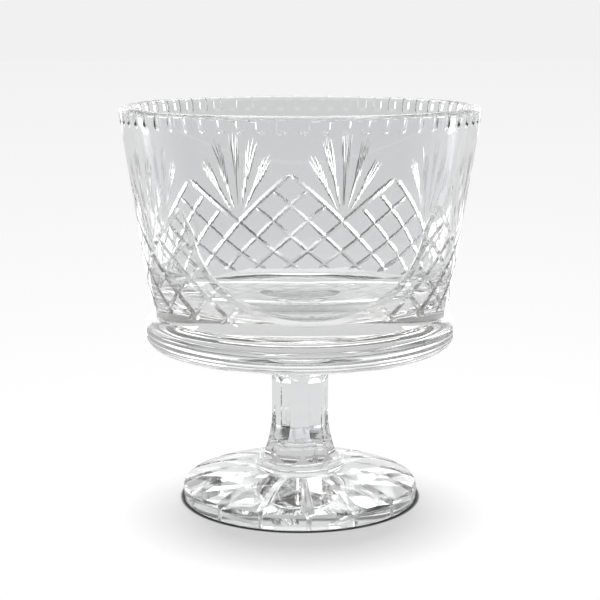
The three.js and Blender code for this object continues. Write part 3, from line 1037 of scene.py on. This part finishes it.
# Paleness of the floor, and how much of it the painted contact shadow at the foot's edge takes away
FLOOR_PALE = 0.95
PAINTED_CONTACT_SHADOW = 0.75

# Under the foot the shadow thins over this many half-widths of the painted contact shadow, and painted light
# from the glow takes its place
UNDER_FOOT_FADE = 3

# How steeply the sweep brightens from the bowl's sides round to its back, and how it fades overhead
SWEEP_SIDES = 1.6
SWEEP_TOP = 1.5
SWEEP_FADE = 2

# Bright cards that stand behind the bowl's sides and face forward: width and height, and place
SIDE_CARDS = {
    "left_panel": ((0.30, 0.40), (-0.42, 0.95, 0.31)),
    "right_panel": ((0.35, 0.40), (0.56, 0.95, 0.31)),
    "left_card": ((0.13, 0.10), (-0.19, 0.37, 0.05)),
    "right_card": ((0.13, 0.10), (0.24, 0.35, 0.05)),
}
TOP_LIGHT_SIZE = (1.4, 1.4)
TOP_LIGHT_PLACE = (0, 0.8, 1.5)
TOP_LIGHT_AIM = (0, 0, 0.13)

# Watts that give one square metre of a soft light a radiance of 1
CARD_WATTS = 4

# Width of the camera's sensor in millimetres, and how far the camera sees in metres
SENSOR_WIDTH = 36
VIEW_END = 50

# How often light is followed through glass, and off gloss
GLASS_BOUNCES = 40
GLOSSY_BOUNCES = 24


def seen_rays(shader):
    """1 for what the camera sees, straight or through and in glass; 0 for light that falls on things."""
    kinds = ("Is Camera Ray", "Is Glossy Ray", "Is Transmission Ray")
    straight, mirrored, through = [shader.node("ShaderNodeLightPath", output=kind) for kind in kinds]
    return (straight + mirrored + through).clamped()


def pale_floor(name, studio):
    """Pale floor that glows with painted light: bright beside the bowl, a little greyer far off and dimmer in
    glass. Near the bowl it turns to lamp-lit matt that takes the real shadow, in a disc in front of the bowl
    that is partly painted shade, with a painted contact shadow where the foot stands and painted light under
    the foot."""
    made, shader = material(name)
    place = shader.node("ShaderNodeTexCoord", output="Object")
    far = shader.distance(place)
    # Painted light: the glow is brighter beside the bowl and greyer far off
    pale = studio.far_floor + (studio.near_floor - studio.far_floor) / (1 + far / studio.floor_fall)
    straight = shader.node("ShaderNodeLightPath", output="Is Camera Ray")
    # Painted shade: in glass the floor shows dimmer than straight
    seen = studio.in_glass + (1 - studio.in_glass) * straight
    glow = shader.node("ShaderNodeEmission", None, Color=pale * seen)
    # Painted contact shadow: a dark ring in the floor's matt where the foot's edge stands
    edge = (far - reach("foot")) / studio.contact
    line = (1 - edge * edge).clamped()
    dull = {"Roughness": 1.0, "Specular IOR Level": 0.0}
    matt = shader.principled({"Base Color": FLOOR_PALE - PAINTED_CONTACT_SHADOW * line, **dull})
    # A disc shifted in front of the bowl turns from glow to lamp-lit matt; the matt takes the real shadow and
    # is dimmer than the glow, so this is partly painted shade
    shifted = shader.node("ShaderNodeVectorMath", {"operation": "ADD"}, place, (0, studio.shadow_shift, 0))
    away = shader.distance(shifted)
    close = ((studio.shadow_reach - away) / (studio.shadow_reach - studio.shadow_full)).clamped()
    # Painted light: under the foot the matt, and the real shadow with it, gives way to the glow
    outside = (1 + edge / UNDER_FOOT_FADE).clamped(studio.under_foot)
    taken = (close * outside * studio.shadow + line).clamped()
    shown = shader.node("ShaderNodeMixShader", None, taken, glow, matt)
    shader.finished(shader.node("ShaderNodeMixShader", None, seen_rays(shader), matt, shown))
    return made


def studio_room(context, studio):
    """World: as pale as the far floor to the camera, and to everything else a dim room with a pale sweep
    that stands behind the bowl."""
    world = bpy.data.worlds.new("studio_room")
    world.use_nodes = True
    context.scene.world = world
    shader = Shader(world.node_tree)
    camera = shader.node("ShaderNodeLightPath", output="Is Camera Ray")
    place = shader.node("ShaderNodeTexCoord", output="Generated")
    behind = shader.node("ShaderNodeSeparateXYZ", None, place, output="Y")
    above = shader.node("ShaderNodeSeparateXYZ", None, place, output="Z")
    pale = (behind * SWEEP_SIDES).clamped() * (SWEEP_TOP - above * SWEEP_FADE).clamped()
    room = studio.room + (studio.sweep - studio.room) * pale
    brightness = room + camera * (studio.far_floor - room)
    surface = shader.node("ShaderNodeBackground", None, Color=brightness, Strength=1.0)
    shader.node("ShaderNodeOutputWorld", None, Surface=surface)


def lamp(context, name, radiance, size, place, aim):
    """Rectangular soft light of a given radiance, aimed at a point."""
    data = bpy.data.lights.new(name, "AREA")
    data.shape = "RECTANGLE"
    data.size, data.size_y = size
    data.energy = CARD_WATTS * radiance * size[0] * size[1]
    made = bpy.data.objects.new(name, data)
    made.location = place
    made.rotation_euler = (Vector(aim) - Vector(place)).to_track_quat("-Z", "Y").to_euler()
    made.visible_camera = False
    context.scene.collection.objects.link(made)


class CRYSTAL_OT_stage(Operator):
    """Lay the floor, hang the lights and set the camera"""

    bl_idname = "crystal.stage"
    bl_label = "Studio"

    def execute(self, context):
        scene = context.scene
        studio = scene.crystal_studio
        self.floor(scene, studio)
        studio_room(context, studio)
        for name, (size, place) in SIDE_CARDS.items():
            lamp(context, name, studio.side_light, size, place, (place[0], 0, place[2]))
        lamp(context, "top_light", studio.top_light, TOP_LIGHT_SIZE, TOP_LIGHT_PLACE, TOP_LIGHT_AIM)
        self.camera(scene, studio)
        scene.view_settings.view_transform = "Standard"
        scene.cycles.max_bounces = GLASS_BOUNCES
        scene.cycles.transmission_bounces = GLASS_BOUNCES
        scene.cycles.glossy_bounces = GLOSSY_BOUNCES
        scene.cycles.use_denoising = True
        return {"FINISHED"}

    def floor(self, scene, studio):
        shape = bmesh.new()
        bmesh.ops.create_circle(shape, cap_ends=True, segments=FLOOR_SEGMENTS, radius=FLOOR_RADIUS)
        mesh = bpy.data.meshes.new("floor")
        shape.to_mesh(mesh)
        shape.free()
        mesh.materials.append(finish(pale_floor, "pale_floor", studio))
        floor = bpy.data.objects.new("floor", mesh)
        floor.location.z = -FLOOR_DROP
        scene.collection.objects.link(floor)

    def camera(self, scene, studio):
        data = bpy.data.cameras.new("camera")
        data.lens = studio.lens
        data.sensor_width = SENSOR_WIDTH
        data.clip_end = VIEW_END
        made = bpy.data.objects.new("camera", data)
        away = facing(-studio.camera_turn)
        pitch = studio.camera_pitch
        made.location = away * studio.camera_distance + AXIS * studio.camera_height
        look = -away * math.cos(pitch) - AXIS * math.sin(pitch)
        made.rotation_euler = look.to_track_quat("-Z", "Y").to_euler()
        scene.collection.objects.link(made)
        scene.camera = made


class CRYSTAL_PT_bowl(Panel):
    """Pieces of the presentation bowl"""

    bl_label = "Presentation bowl"
    bl_space_type = "VIEW_3D"
    bl_region_type = "UI"
    bl_category = "Crystal"

    def draw(self, context):
        for made in OPERATORS:
            self.layout.operator(made.bl_idname)
        for name in GROUPS:
            box = self.layout.box()
            sizes = getattr(context.scene, name)
            for key in sizes.bl_rna.properties.keys():
                if key not in ("rna_type", "name"):
                    box.prop(sizes, key)


GROUPS = {
    "crystal_cup": CupSizes,
    "crystal_pattern": PatternSizes,
    "crystal_stand": StandSizes,
    "crystal_foot": FootSizes,
    "crystal_glass": GlassLook,
    "crystal_studio": StudioLook,
}
OPERATORS = (
    CRYSTAL_OT_stage,
    CRYSTAL_OT_cup,
    CRYSTAL_OT_plate,
    CRYSTAL_OT_collars,
    CRYSTAL_OT_stem,
    CRYSTAL_OT_foot,
    CRYSTAL_OT_films,
)


def register():
    for made in (*GROUPS.values(), *OPERATORS, CRYSTAL_PT_bowl):
        bpy.utils.register_class(made)
    for name, group in GROUPS.items():
        setattr(bpy.types.Scene, name, PointerProperty(type=group))


def unregister():
    for name in GROUPS:
        delattr(bpy.types.Scene, name)
    for made in reversed((*GROUPS.values(), *OPERATORS, CRYSTAL_PT_bowl)):
        bpy.utils.unregister_class(made)


def main():
    register()
    bpy.ops.crystal.stage()
    bpy.ops.crystal.cup()
    bpy.ops.crystal.plate()
    bpy.ops.crystal.collars()
    bpy.ops.crystal.stem()
    bpy.ops.crystal.foot()
    bpy.ops.crystal.films()


if __name__ == "__main__":
    main()
